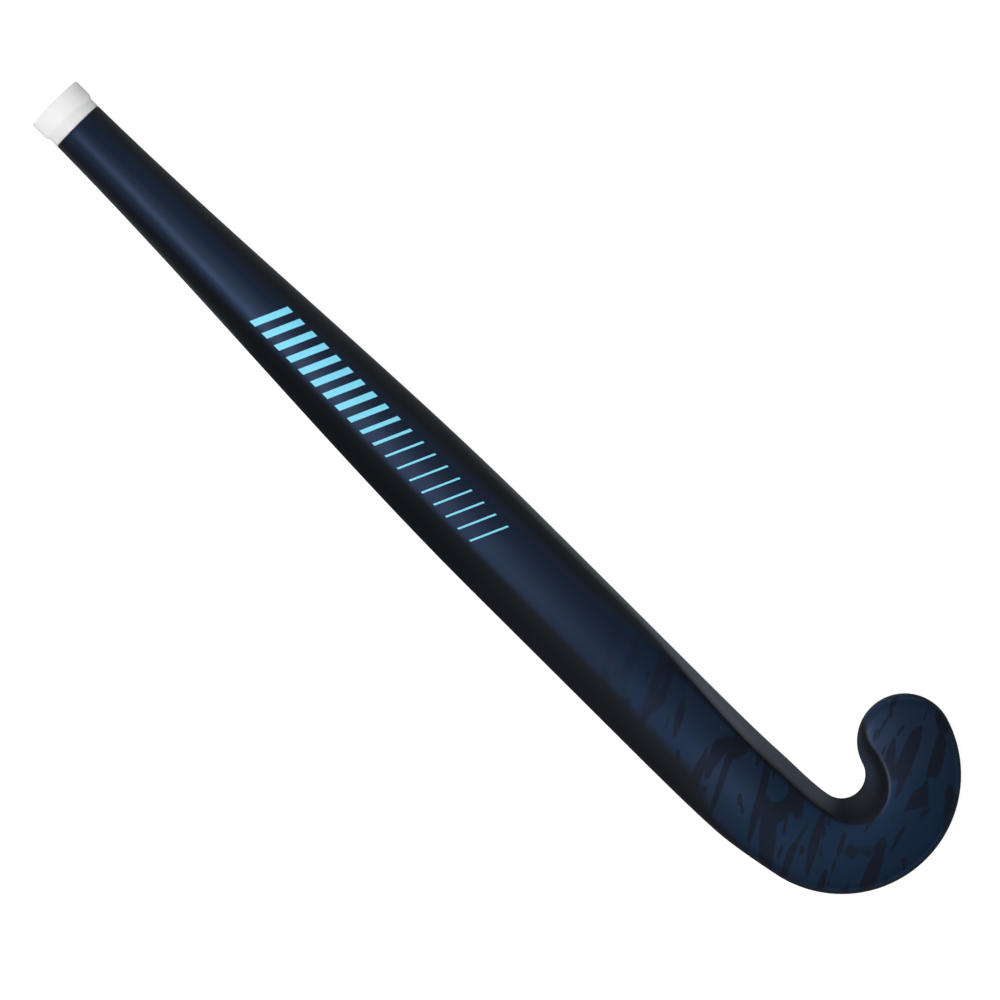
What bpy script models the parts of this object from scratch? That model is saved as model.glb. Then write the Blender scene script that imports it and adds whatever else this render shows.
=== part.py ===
"""Field hockey goalkeeper stick, lying on its flat playing face with the rounded back up.

Units are metres. +X runs along the stick from the butt to the head, +Y towards the toe and
+Z up, out of the rounded back. The stick is a moulded laminate shell round two lengthwise
inner tubes, whose facing walls make a centre rib. The tubes are filled with foam, the hook
is filled with a denser core, and a plastic cap closes the butt.
"""

import math
from collections import namedtuple

import bmesh
import bpy

# Overall size, measured along the stick
OVERALL_LENGTH = 0.927
BOW_HEIGHT = 0.016
BOW_EASE = 0.2
FLAT_FACE_LENGTH = 0.167

# Widths and depths of the handle, the shaft and the head
HANDLE_WIDTH = 0.0461
HANDLE_DEPTH = 0.034
SHAFT_WIDTH = 0.0820
SHAFT_DEPTH = 0.031
HEAD_WIDTH = 0.0773
HEAD_DEPTH = 0.030
TAPER_LENGTH = 0.515
HEAD_NARROWING = 0.055

# Centre line of the neck, the hook and the toe
NECK_LENGTH = 0.198
NECK_ANGLE = math.radians(11)
NECK_POWER = 5
HOOK_RADIUS = 0.0576
HOOK_ANGLE = math.radians(162)
TOE_SWELL = 0.0008

# Rounding of the back: how far its flanks reach in from the edge, and its dome
HANDLE_FLANK = 0.0225
SHAFT_FLANK = 0.024
OVAL_LENGTH = 0.400
FLANK_RUNOUT = 0.220
HANDLE_CROWN = 0.0006
SHAFT_CROWN = 0.0080
HEAD_CROWN = 0.0035

# Height of the widest point above the face, and the rounding under it
HANDLE_EDGE_HEIGHT = 0.017
SHAFT_EDGE_HEIGHT = 0.012
HEAD_EDGE_HEIGHT = 0.013
LIP_HEIGHT = 0.008
HANDLE_UNDER_ROUND = 0.019
FACE_EDGE_ROUND = 0.006

# Scooped bevel along the inner side of the shaft, round the crook and up the toe
BEVEL_START = 0.570
SHAFT_BEVEL = 0.0125
CROOK_BEVEL = 0.0240
TOE_BEVEL = 0.0145
CROOK_ANGLE = math.radians(85)
BEVEL_END_ANGLE = math.radians(65)
EDGE_STRIP = 0.0025
RIDGE_ROUND = 0.0030
SHAFT_SCOOP = 0.65
CROOK_SCOOP = 0.80

# Laminate, inner tubes, foam and core
SHELL_WALL = 0.0014
TUBE_WALL = 0.0008
FIT_GAP = 0.0003
CORE_CORNER = 0.0065
CORE_SETBACK = 1.1
PLUG_LENGTH = 0.035
HEAD_CORE_LENGTH = 0.225

# End cap
FLANGE_LENGTH = 0.0160
FLANGE_LIP = 0.0018
FLANGE_EDGE_ROUND = 0.0020
FLANGE_STEP = 0.0026
CAP_VISIBLE_LENGTH = 0.0266
SPIGOT_LENGTH = 0.036
SPIGOT_WALL = 0.0020
SPIGOT_LEAD_IN = 0.004
CAP_FLOOR = 0.0045
CRUSH_RIB_HEIGHT = 0.0008
CRUSH_RIB_WIDTH = 0.0016
CRUSH_RIB_SPACING = 0.0150

# Number of steps along and around the lofts
SHAFT_STEPS = 22
NECK_STEPS = 14
HOOK_STEPS = 30
TOE_STEPS = 18
CORE_SHAFT_STEPS = 11
CORE_NECK_STEPS = 5
CORE_HOOK_STEPS = 15
CORE_TOE_STEPS = 9
CROWN_STEPS = 3
CORE_CROWN_STEPS = 2
SHOULDER_STEPS = 4
BEVEL_STEPS = 5
UNDER_STEPS = 4
CORE_UNDER_STEPS = 3
ROUND_STEPS = 4
SHARP_ANGLE = math.radians(30)

Steps = namedtuple("Steps", "crown shoulder bevel under")
FINE_STEPS = Steps(CROWN_STEPS, SHOULDER_STEPS, BEVEL_STEPS, UNDER_STEPS)
PLAIN_STEPS = Steps(CORE_CROWN_STEPS, SHOULDER_STEPS, 0, CORE_UNDER_STEPS)

Station = namedtuple("Station", "x y heading along")
Half = namedtuple("Half", "width depth crown flank edge under bevel scoop")

COLOURS = {
    "outer_shell": ((0.012, 0.019, 0.040), 0.38, 0.0),
    "end_cap": ((0.80, 0.80, 0.80), 0.35, 0.0),
    "handle_plug": ((0.55, 0.50, 0.42), 0.90, 0.0),
    "heel_side_tube": ((0.030, 0.030, 0.032), 0.45, 0.0),
    "toe_side_tube": ((0.030, 0.030, 0.032), 0.45, 0.0),
    "heel_side_foam": ((0.80, 0.74, 0.55), 0.95, 0.0),
    "toe_side_foam": ((0.80, 0.74, 0.55), 0.95, 0.0),
    "head_core": ((0.45, 0.33, 0.20), 0.85, 0.0),
}


# Values that follow from the sizes

NECK_SLOPE = math.tan(NECK_ANGLE)
HOOK_CENTRE_X = OVERALL_LENGTH - HOOK_RADIUS - HEAD_WIDTH / 2
NECK_END = HOOK_CENTRE_X + HOOK_RADIUS * math.sin(NECK_ANGLE)
NECK_START = NECK_END - NECK_LENGTH
NECK_RISE = NECK_SLOPE * NECK_LENGTH / NECK_POWER
HOOK_CENTRE_Y = NECK_RISE + HOOK_RADIUS * math.cos(NECK_ANGLE)
STICK_END = NECK_END + HOOK_RADIUS * (HOOK_ANGLE - NECK_ANGLE)
CROOK = NECK_END + HOOK_RADIUS * (CROOK_ANGLE - NECK_ANGLE)
FLAT_START = OVERALL_LENGTH - FLAT_FACE_LENGTH
SHELL_START = CAP_VISIBLE_LENGTH + FIT_GAP
SPIGOT_END = CAP_VISIBLE_LENGTH + SPIGOT_LENGTH
PLUG_START = SPIGOT_END + FIT_GAP
TUBE_START = PLUG_START + PLUG_LENGTH + FIT_GAP
HEAD_CORE_START = OVERALL_LENGTH - HEAD_CORE_LENGTH
TUBE_END = HEAD_CORE_START - FIT_GAP
CORE_INSET = SHELL_WALL + FIT_GAP


def smooth(start, end, at):
    """0 before start, 1 after end, and an S-curve between them."""
    t = min(max((at - start) / (end - start), 0.0), 1.0)
    return t * t * (3 - 2 * t)


def mix(a, b, amount):
    return a + (b - a) * amount


def through(stops, at):
    """Value at a place, easing through (place, value) stops."""
    value = stops[0][1]
    for (start, _), (end, end_value) in zip(stops, stops[1:]):
        value = mix(value, end_value, smooth(start, end, at))
    return value


# The stick's path and how its section changes along it

def station_at(along):
    """Point and heading of the centre line at a distance along it."""
    if along <= NECK_START:
        return Station(along, 0.0, 0.0, along)
    if along <= NECK_END:
        share = (along - NECK_START) / NECK_LENGTH
        heading = math.atan(NECK_SLOPE * share ** (NECK_POWER - 1))
        return Station(along, NECK_RISE * share ** NECK_POWER, heading, along)
    angle = NECK_ANGLE + (along - NECK_END) / HOOK_RADIUS
    x = HOOK_CENTRE_X + HOOK_RADIUS * math.sin(angle)
    y = HOOK_CENTRE_Y - HOOK_RADIUS * math.cos(angle)
    return Station(x, y, angle, along)


def bow_at(x):
    """Height of the playing face above the flat: an arch from the head to the butt."""
    if x >= FLAT_START:
        return 0.0
    share = (FLAT_START - x) / FLAT_START
    if share < BOW_EASE:
        eased = share ** 2 / (2 * BOW_EASE)
    else:
        eased = share - BOW_EASE / 2
    eased /= 1 - BOW_EASE / 2
    return 4 * BOW_HEIGHT * eased * (1 - eased) + FLANGE_LIP * eased


def along_stick(handle, shaft, head, along, shaft_from):
    """A size that goes from its handle value to the shaft's and then to the head's."""
    value = mix(handle, shaft, smooth(0.0, shaft_from, along))
    return mix(value, head, smooth(NECK_END - HEAD_NARROWING, NECK_END, along))


def heel_half(along):
    """Sizes of the half section on the heel side, which becomes the hook's outer side."""
    to_head = smooth(NECK_END - FLANK_RUNOUT, NECK_END - HEAD_NARROWING, along)
    flank = mix(HANDLE_FLANK, SHAFT_FLANK, smooth(0.0, OVAL_LENGTH, along))
    return Half(
        width=along_stick(HANDLE_WIDTH, SHAFT_WIDTH, HEAD_WIDTH, along, TAPER_LENGTH) / 2,
        depth=along_stick(HANDLE_DEPTH, SHAFT_DEPTH, HEAD_DEPTH, along, TAPER_LENGTH),
        crown=along_stick(HANDLE_CROWN, SHAFT_CROWN, HEAD_CROWN, along, OVAL_LENGTH),
        flank=mix(flank, EDGE_STRIP + RIDGE_ROUND, to_head),
        edge=along_stick(
            HANDLE_EDGE_HEIGHT, SHAFT_EDGE_HEIGHT, HEAD_EDGE_HEIGHT, along, OVAL_LENGTH),
        under=along_stick(
            HANDLE_UNDER_ROUND, FACE_EDGE_ROUND, FACE_EDGE_ROUND, along, OVAL_LENGTH),
        bevel=EDGE_STRIP,
        scoop=0.0,
    )


def inner_half(along):
    """Sizes of the half section on the toe side, with the scooped bevel of the crook."""
    heel = heel_half(along)
    bevel_full = NECK_END - HEAD_NARROWING
    bevel = through([
        (BEVEL_START, EDGE_STRIP),
        (bevel_full, SHAFT_BEVEL),
        (NECK_END, SHAFT_BEVEL),
        (CROOK, CROOK_BEVEL),
        (STICK_END, TOE_BEVEL),
    ], along)
    scoop = through([
        (BEVEL_START, 0.0),
        (bevel_full, SHAFT_SCOOP),
        (CROOK, CROOK_SCOOP),
    ], along)
    behind_ridge = smooth(BEVEL_START, bevel_full, along)
    flank = mix(HANDLE_FLANK, SHAFT_FLANK, smooth(0.0, OVAL_LENGTH, along))
    lip = mix(heel.edge, LIP_HEIGHT, smooth(BEVEL_START, CROOK, along))
    return heel._replace(
        flank=mix(max(flank, bevel + RIDGE_ROUND), bevel + RIDGE_ROUND, behind_ridge),
        edge=lip,
        bevel=bevel,
        scoop=scoop,
    )


def toe_half(turn):
    """Sizes round the toe: turn 0 is the crook's side and turn pi is the outer side."""
    inner = inner_half(STICK_END)
    heel = heel_half(STICK_END)
    runout = smooth(0.0, BEVEL_END_ANGLE, turn)
    bevel = mix(inner.bevel, EDGE_STRIP, runout)
    return heel._replace(
        width=heel.width + TOE_SWELL * math.sin(turn),
        flank=bevel + RIDGE_ROUND,
        edge=mix(inner.edge, heel.edge, smooth(0.0, math.pi, turn)),
        bevel=bevel,
        scoop=mix(inner.scoop, 0.0, runout),
    )


def without_bevel(half):
    """The half section that the cavity and all that fills it follow, behind the ridge."""
    taken = half.bevel - EDGE_STRIP
    return half._replace(
        width=half.width - CORE_SETBACK * taken,
        flank=max(half.flank - taken, CORE_CORNER),
    )


def half_profile(half, inset, start, steps):
    """Points (across, up) from the crown, over the edge and under to the face's middle.

    inset moves the profile in from the stick's surface, and start is where it begins
    beside the centre line.
    """
    reach = half.flank - inset
    drop = half.depth - half.crown - half.edge - inset
    flank_start = half.width - half.flank
    edge_at = half.width - inset

    def top(across):
        share = max((across - flank_start) / reach, 0.0)
        curve = 1 - math.sqrt(max(1 - share ** 2, 0.0))
        return half.depth - inset - half.crown * (across / edge_at) ** 2 - drop * curve

    points = []
    for step in range(steps.crown):
        across = start + (flank_start - start) * step / steps.crown
        points.append((across, top(across)))
    quarter = math.pi / 2
    ridge_turn = quarter
    if steps.bevel:
        ridge_turn = math.asin((edge_at - half.bevel - flank_start) / reach)
    for step in range(steps.shoulder + 1):
        turn = ridge_turn * step / steps.shoulder
        across = flank_start + reach * math.sin(turn)
        points.append((across, top(across)))
    ridge_height = points[-1][1]
    edge_height = top(edge_at)
    for step in range(1, steps.bevel + 1):
        share = step / steps.bevel
        across = flank_start + reach * math.sin(mix(ridge_turn, quarter, share))
        scooped_across = edge_at - half.bevel * math.cos(quarter * share)
        scooped_up = mix(ridge_height, edge_height, math.sin(quarter * share))
        points.append((
            mix(across, scooped_across, half.scoop),
            mix(top(across), scooped_up, half.scoop),
        ))
    under_reach = half.under - inset
    for step in range(1, steps.under + 1):
        turn = quarter * step / steps.under
        across = half.width - half.under + under_reach * math.cos(turn)
        points.append((across, mix(edge_height, inset, math.sin(turn))))
    points.append((start, inset))
    return points


# From profiles to points in space

def place(station, side_angle, profile):
    """Stand a half profile up at a station, facing an angle from the centre line."""
    direction = station.heading + side_angle
    lift = bow_at(station.x)
    return [
        (station.x + across * math.cos(direction),
         station.y + across * math.sin(direction),
         up + lift)
        for across, up in profile
    ]


def side_column(along, side, inset, start=0.0, steps=PLAIN_STEPS):
    """One side's points at a station: side is 1 on the toe side and -1 on the heel side."""
    half = inner_half(along) if side > 0 else heel_half(along)
    if not steps.bevel:
        half = without_bevel(half)
    profile = half_profile(half, inset, start, steps)
    return place(station_at(along), side * math.pi / 2, profile)


def section_ring(along, inset, steps=PLAIN_STEPS):
    """The closed section at a station: down the toe side and back up the heel side."""
    toe_side = side_column(along, 1, inset, steps=steps)
    heel_side = side_column(along, -1, inset, steps=steps)
    return toe_side + heel_side[-2:0:-1]


def toe_columns(inset, toe_steps, steps=PLAIN_STEPS):
    """Columns that sweep round the toe from the crook's side to the outer side."""
    station = station_at(STICK_END)
    columns = []
    for step in range(1, toe_steps):
        turn = math.pi * step / toe_steps
        half = toe_half(turn)
        if not steps.bevel:
            half = without_bevel(half)
        profile = half_profile(half, inset, 0.0, steps)
        columns.append(place(station, math.pi / 2 - turn, profile))
    return columns


def spread(start, end, count):
    return [start + (end - start) * step / count for step in range(count + 1)]


def outer_places():
    """Distances along the stick where the outer surface has a section."""
    shaft = spread(SHELL_START, NECK_START, SHAFT_STEPS)
    neck = spread(NECK_START, NECK_END, NECK_STEPS)
    hook = spread(NECK_END, STICK_END, HOOK_STEPS)
    return shaft + neck[1:] + hook[1:]


def core_places(start, end):
    """Sections shared by the cavity and what fills it, between two distances."""
    shaft = spread(TUBE_START, TUBE_END, CORE_SHAFT_STEPS)
    neck = spread(HEAD_CORE_START, NECK_END, CORE_NECK_STEPS)
    hook = spread(NECK_END, STICK_END, CORE_HOOK_STEPS)
    shared = [PLUG_START] + shaft + neck + hook[1:]
    return [start] + [at for at in shared if start < at < end] + [end]


# Building meshes

def column_faces(mesh, first, second):
    """Faces between two columns of points, which may share their ends."""
    for upper in range(len(first) - 1):
        corners = [first[upper], first[upper + 1], second[upper + 1], second[upper]]
        corners = [vert for place_in, vert in enumerate(corners) if vert not in corners[:place_in]]
        if len(corners) > 2:
            mesh.faces.new(corners)


def loop_faces(mesh, first, second):
    """Faces between two closed loops of points."""
    column_faces(mesh, first + first[:1], second + second[:1])


def finish_mesh(name, mesh):
    bmesh.ops.recalc_face_normals(mesh, faces=mesh.faces[:])
    data = bpy.data.meshes.new(name)
    mesh.to_mesh(data)
    mesh.free()
    data.shade_smooth()
    data.set_sharp_from_angle(angle=SHARP_ANGLE)
    return data


def loft(name, rings, toe=None):
    """A closed solid through rings, ending flat or, given toe columns, in a rounded toe."""
    mesh = bmesh.new()
    loops = [[mesh.verts.new(point) for point in ring] for ring in rings]
    for first, second in zip(loops, loops[1:]):
        loop_faces(mesh, first, second)
    mesh.faces.new(loops[0])
    last = loops[-1]
    if toe is None:
        mesh.faces.new(last)
        return finish_mesh(name, mesh)
    bottom = len(last) // 2
    columns = [last[:bottom + 1]]
    for points in toe:
        inner = [mesh.verts.new(point) for point in points[1:-1]]
        columns.append([last[0]] + inner + [last[bottom]])
    columns.append([last[0]] + last[:bottom - 1:-1])
    for first, second in zip(columns, columns[1:]):
        column_faces(mesh, first, second)
    return finish_mesh(name, mesh)


def tube(name, outer_rings, inner_rings):
    """A wall between two stacks of rings, open at both ends."""
    mesh = bmesh.new()
    outer = [[mesh.verts.new(point) for point in ring] for ring in outer_rings]
    inner = [[mesh.verts.new(point) for point in ring] for ring in inner_rings]
    for loops in (outer, inner):
        for first, second in zip(loops, loops[1:]):
            loop_faces(mesh, first, second)
    loop_faces(mesh, outer[0], inner[0])
    loop_faces(mesh, outer[-1], inner[-1])
    return finish_mesh(name, mesh)


# The scene's collections, materials and modifiers

def clear_scene():
    for item in list(bpy.data.objects):
        bpy.data.objects.remove(item, do_unlink=True)


def new_collection(name):
    collection = bpy.data.collections.new(name)
    bpy.context.scene.collection.children.link(collection)
    return collection


def paint(item, name):
    colour, roughness, metallic = COLOURS[name]
    material = bpy.data.materials.new(name)
    material.use_nodes = True
    shader = material.node_tree.nodes["Principled BSDF"]
    shader.inputs["Base Color"].default_value = (*colour, 1.0)
    shader.inputs["Roughness"].default_value = roughness
    shader.inputs["Metallic"].default_value = metallic
    material.diffuse_color = (*colour, 1.0)
    item.data.materials.append(material)


def add_part(data, parts, frame):
    item = bpy.data.objects.new(data.name, data)
    parts.objects.link(item)
    item.parent = frame
    paint(item, data.name)
    return item


def add_cutter(data, cutters, frame):
    item = bpy.data.objects.new(data.name, data)
    cutters.objects.link(item)
    item.parent = frame
    item.hide_render = True
    item.display_type = "WIRE"
    return item


def add_boolean(item, operation, other):
    boolean = item.modifiers.new(other.name, "BOOLEAN")
    boolean.operation = operation
    boolean.solver = "EXACT"
    boolean.object = other


# Sub-parts

def make_outer_shell(parts, cutters, frame):
    """The laminate: the stick's outer surface less the cavity, open at the butt."""
    rings = [section_ring(at, 0.0, FINE_STEPS) for at in outer_places()]
    outer = loft("outer_shell", rings, toe_columns(0.0, TOE_STEPS, FINE_STEPS))
    shell = add_part(outer, parts, frame)
    before = CAP_VISIBLE_LENGTH - SHELL_WALL
    rings = [section_ring(at, SHELL_WALL) for at in core_places(before, STICK_END)]
    cavity = loft("cavity", rings, toe_columns(SHELL_WALL, CORE_TOE_STEPS))
    add_boolean(shell, "DIFFERENCE", add_cutter(cavity, cutters, frame))
    return shell


def make_tube_and_foam(side_name, side, parts, frame):
    """One inner tube, whose flat wall is half of the centre rib, and the foam inside it."""
    places = core_places(TUBE_START, TUBE_END)
    wall_start = FIT_GAP / 2
    foam_inset = CORE_INSET + TUBE_WALL + FIT_GAP
    foam_start = wall_start + TUBE_WALL + FIT_GAP
    outer = [side_column(at, side, CORE_INSET, wall_start) for at in places]
    inner = [side_column(at, side, CORE_INSET + TUBE_WALL, wall_start + TUBE_WALL) for at in places]
    foam = [side_column(at, side, foam_inset, foam_start) for at in places]
    add_part(tube(side_name + "_tube", outer, inner), parts, frame)
    add_part(loft(side_name + "_foam", foam), parts, frame)


def make_head_core(parts, frame):
    """Dense filling of the hook, from the ends of the tubes to the toe."""
    rings = [section_ring(at, CORE_INSET) for at in core_places(HEAD_CORE_START, STICK_END)]
    add_part(loft("head_core", rings, toe_columns(CORE_INSET, CORE_TOE_STEPS)), parts, frame)


def make_handle_plug(parts, frame):
    """Foam block that seals the handle between the cap's spigot and the tubes."""
    places = core_places(PLUG_START, PLUG_START + PLUG_LENGTH)
    add_part(loft("handle_plug", [section_ring(at, CORE_INSET) for at in places]), parts, frame)


def crush_rib_slabs(cutters, frame):
    """Upright and level slabs that cut the spigot's envelope into its crush ribs."""
    mesh = bmesh.new()
    middle = (CAP_VISIBLE_LENGTH + SPIGOT_END) / 2
    axis_height = HANDLE_DEPTH / 2 + bow_at(middle)
    beyond = 2 * HANDLE_WIDTH
    slabs = [
        ((middle, across, axis_height), (beyond, CRUSH_RIB_WIDTH, beyond))
        for across in (-CRUSH_RIB_SPACING / 2, CRUSH_RIB_SPACING / 2)
    ]
    slabs.append(((middle, 0.0, axis_height), (beyond, beyond, CRUSH_RIB_WIDTH)))
    for centre, size in slabs:
        cube = bmesh.ops.create_cube(mesh, size=1.0)
        bmesh.ops.scale(mesh, vec=size, verts=cube["verts"])
        bmesh.ops.translate(mesh, vec=centre, verts=cube["verts"])
    return add_cutter(finish_mesh("crush_rib_slabs", mesh), cutters, frame)


def make_end_cap(parts, cutters, frame):
    """White cap: a rounded flange, a neck flush with the handle and a hollow ribbed spigot."""
    outline = []
    for step in range(ROUND_STEPS + 1):
        turn = math.pi / 2 * step / ROUND_STEPS
        outline.append((
            FLANGE_EDGE_ROUND * (1 - math.cos(turn)),
            FLANGE_EDGE_ROUND * (1 - math.sin(turn)) - FLANGE_LIP,
        ))
    spigot_inset = CORE_INSET + CRUSH_RIB_HEIGHT
    outline += [
        (FLANGE_LENGTH, -FLANGE_LIP),
        (FLANGE_LENGTH + FLANGE_STEP, 0.0),
        (CAP_VISIBLE_LENGTH, 0.0),
        (CAP_VISIBLE_LENGTH, spigot_inset),
        (SPIGOT_END - SPIGOT_LEAD_IN, spigot_inset),
        (SPIGOT_END, spigot_inset + CRUSH_RIB_HEIGHT),
    ]
    rings = [section_ring(at, inset, FINE_STEPS) for at, inset in outline]
    cap = add_part(loft("end_cap", rings), parts, frame)

    rib_places = [CAP_VISIBLE_LENGTH - CRUSH_RIB_HEIGHT, SPIGOT_END - SPIGOT_LEAD_IN]
    envelope = loft("crush_ribs", [section_ring(at, CORE_INSET) for at in rib_places])
    ribs = add_cutter(envelope, cutters, frame)
    add_boolean(ribs, "INTERSECT", crush_rib_slabs(cutters, frame))
    add_boolean(cap, "UNION", ribs)

    hollow_inset = spigot_inset + SPIGOT_WALL
    hollow_places = [CAP_FLOOR, SPIGOT_END + SPIGOT_WALL]
    hollow = loft("cap_hollow", [section_ring(at, hollow_inset) for at in hollow_places])
    add_boolean(cap, "DIFFERENCE", add_cutter(hollow, cutters, frame))


def main():
    clear_scene()
    parts = new_collection("goalkeeper_stick")
    cutters = new_collection("cutters")
    frame = bpy.data.objects.new("stick_frame", None)
    parts.objects.link(frame)

    shell = make_outer_shell(parts, cutters, frame)
    make_tube_and_foam("heel_side", -1, parts, frame)
    make_tube_and_foam("toe_side", 1, parts, frame)
    make_head_core(parts, frame)
    make_handle_plug(parts, frame)
    make_end_cap(parts, cutters, frame)

    # The origin is the middle of the lying stick, on the surface that it lies on.
    across = [vert.co.y for vert in shell.data.vertices]
    along = [vert.co.x for vert in shell.data.vertices]
    frame.location = (-max(along) / 2, -(min(across) + max(across)) / 2, 0.0)


main()
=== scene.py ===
"""Looks of a field hockey goalkeeper stick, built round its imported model.

Metres, in the row's frame: +X from the butt to the head, +Y towards the toe, +Z up out of the
rounded back. The moulded shell and the end cap are lofted by one Geometry Nodes tree, which
holds the stick's section rule; the inner pieces keep their solids and get their finishes here.
"""

import math

import bpy
from mathutils import Matrix, Vector


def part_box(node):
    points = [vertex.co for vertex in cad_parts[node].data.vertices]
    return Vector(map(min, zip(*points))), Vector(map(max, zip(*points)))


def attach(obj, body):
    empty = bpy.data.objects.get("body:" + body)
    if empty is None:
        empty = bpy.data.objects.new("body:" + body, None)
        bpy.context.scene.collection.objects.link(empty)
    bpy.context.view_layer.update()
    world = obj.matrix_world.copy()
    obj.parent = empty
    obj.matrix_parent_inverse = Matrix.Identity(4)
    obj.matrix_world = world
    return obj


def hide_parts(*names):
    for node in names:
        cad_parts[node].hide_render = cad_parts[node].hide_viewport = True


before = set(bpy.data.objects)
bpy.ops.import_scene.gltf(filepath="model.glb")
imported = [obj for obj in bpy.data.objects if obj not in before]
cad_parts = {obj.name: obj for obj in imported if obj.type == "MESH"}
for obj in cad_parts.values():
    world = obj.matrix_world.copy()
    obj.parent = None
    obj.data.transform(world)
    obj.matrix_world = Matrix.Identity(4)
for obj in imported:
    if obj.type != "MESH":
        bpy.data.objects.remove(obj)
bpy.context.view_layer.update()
cap_low, cap_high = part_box("end_cap")

# Where the butt's end is, and the line that the handle and shaft run along
BUTT_X = cap_low.x
SHAFT_Y = (cap_low.y + cap_high.y) / 2

# Length, bow and the centre line of the neck and hook
OVERALL_LENGTH = 0.927
BOW_HEIGHT = 0.016
BOW_EASE = 0.2
FLAT_FACE_LENGTH = 0.167
NECK_LENGTH = 0.198
NECK_ANGLE = math.radians(11)
NECK_POWER = 5
HOOK_RADIUS = 0.0576
HOOK_ANGLE = math.radians(162)
TOE_SWELL = 0.0008

# Widths, depths and domes of the back, for the handle, the shaft and the head
HANDLE_WIDTH, SHAFT_WIDTH, HEAD_WIDTH = 0.0461, 0.0820, 0.0773
HANDLE_DEPTH, SHAFT_DEPTH, HEAD_DEPTH = 0.034, 0.031, 0.030
HANDLE_CROWN, SHAFT_CROWN, HEAD_CROWN = 0.0006, 0.0080, 0.0035
HANDLE_EDGE_HEIGHT, SHAFT_EDGE_HEIGHT, HEAD_EDGE_HEIGHT = 0.017, 0.012, 0.013
HANDLE_FLANK, SHAFT_FLANK = 0.0225, 0.024
HANDLE_UNDER_ROUND, FACE_EDGE_ROUND = 0.019, 0.006
TAPER_LENGTH = 0.515
OVAL_LENGTH = 0.400
HEAD_NARROWING = 0.055
FLANK_RUNOUT = 0.220
LIP_HEIGHT = 0.008

# Scooped bevel from the shaft's inner edge round the crook to the toe
BEVEL_START = 0.570
SHAFT_BEVEL, CROOK_BEVEL, TOE_BEVEL = 0.0125, 0.0240, 0.0145
SHAFT_SCOOP, CROOK_SCOOP = 0.65, 0.80
CROOK_ANGLE = math.radians(85)
BEVEL_END_ANGLE = math.radians(65)
EDGE_STRIP = 0.0025
RIDGE_ROUND = 0.0030

# Shell wall, cavity and end cap
SHELL_WALL = 0.0014
FIT_GAP = 0.0003
CORE_CORNER = 0.0065
CORE_SETBACK = 1.1
FLANGE_LENGTH = 0.0160
FLANGE_LIP = 0.0018
FLANGE_EDGE_ROUND = 0.0014
FLANGE_STEP = 0.0026
CAP_VISIBLE_LENGTH = 0.0266
SPIGOT_LENGTH = 0.036
SPIGOT_WALL = 0.0020
SPIGOT_LEAD_IN = 0.004
CAP_FLOOR = 0.0045
CRUSH_RIB_HEIGHT = 0.0008

# Values that follow from the sizes
NECK_SLOPE = math.tan(NECK_ANGLE)
NECK_END = (OVERALL_LENGTH - HOOK_RADIUS - HEAD_WIDTH / 2) + HOOK_RADIUS * math.sin(NECK_ANGLE)
NECK_START = NECK_END - NECK_LENGTH
NECK_RISE = NECK_SLOPE * NECK_LENGTH / NECK_POWER
STICK_END = NECK_END + HOOK_RADIUS * (HOOK_ANGLE - NECK_ANGLE)
CROOK = NECK_END + HOOK_RADIUS * (CROOK_ANGLE - NECK_ANGLE)
FLAT_START = OVERALL_LENGTH - FLAT_FACE_LENGTH
BEVEL_FULL = NECK_END - HEAD_NARROWING
SHELL_START = CAP_VISIBLE_LENGTH + FIT_GAP
SPIGOT_END = CAP_VISIBLE_LENGTH + SPIGOT_LENGTH
QUARTER = math.pi / 2

# Places on the profile: crown, ridge, edge, end of the rounding under it, middle of the face
AT_CROWN, AT_RIDGE, AT_EDGE, AT_FACE, AT_MIDDLE = range(5)


# Arithmetic on sockets, for Geometry Nodes and materials alike

class Field:
    """A socket that takes part in sums; each operation adds a Math node to its tree."""

    def __init__(self, socket):
        self.socket = socket

    @property
    def tree(self):
        return self.socket.id_data

    def __add__(self, other):
        return calculate("ADD", self, other)

    def __radd__(self, other):
        return calculate("ADD", other, self)

    def __sub__(self, other):
        return calculate("SUBTRACT", self, other)

    def __rsub__(self, other):
        return calculate("SUBTRACT", other, self)

    def __mul__(self, other):
        return calculate("MULTIPLY", self, other)

    def __rmul__(self, other):
        return calculate("MULTIPLY", other, self)

    def __truediv__(self, other):
        return calculate("DIVIDE", self, other)

    def __pow__(self, power):
        return calculate("POWER", self, power)


def feed(socket, value):
    """Link a field to a socket, or set the socket to a plain value."""
    if isinstance(value, Field):
        socket.id_data.links.new(value.socket, socket)
    else:
        socket.default_value = value


def add_node(tree, kind, inputs=(), **settings):
    """A node with its settings and inputs, which are fields or plain values."""
    node = tree.nodes.new(kind)
    for name, value in settings.items():
        setattr(node, name, value)
    for name, value in dict(inputs).items():
        feed(node.inputs[name], value)
    return node


def result(tree, kind, output, inputs=(), **settings):
    """One output of a new node, by name."""
    return Field(add_node(tree, kind, inputs, **settings).outputs[output])


def calculate(operation, *values):
    """What a Math node makes of fields and plain values."""
    tree = next(value.tree for value in values if isinstance(value, Field))
    node = tree.nodes.new("ShaderNodeMath")
    node.operation = operation
    for socket, value in zip(node.inputs, values):
        feed(socket, value)
    return Field(node.outputs[0])


def sine(angle):
    return calculate("SINE", angle)


def cosine(angle):
    return calculate("COSINE", angle)


def lesser(a, b):
    return calculate("MINIMUM", a, b)


def greater(a, b):
    return calculate("MAXIMUM", a, b)


def ramp(start, end, at, kind="LINEAR"):
    """0 before start, 1 after end, and a straight or smooth rise between them."""
    return result(at.tree, "ShaderNodeMapRange", "Result", {
        "Value": at, "From Min": start, "From Max": end,
    }, interpolation_type=kind)


def smooth(start, end, at):
    return ramp(start, end, at, "SMOOTHSTEP")


def mix(a, b, amount):
    return (b - a) * amount + a


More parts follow.
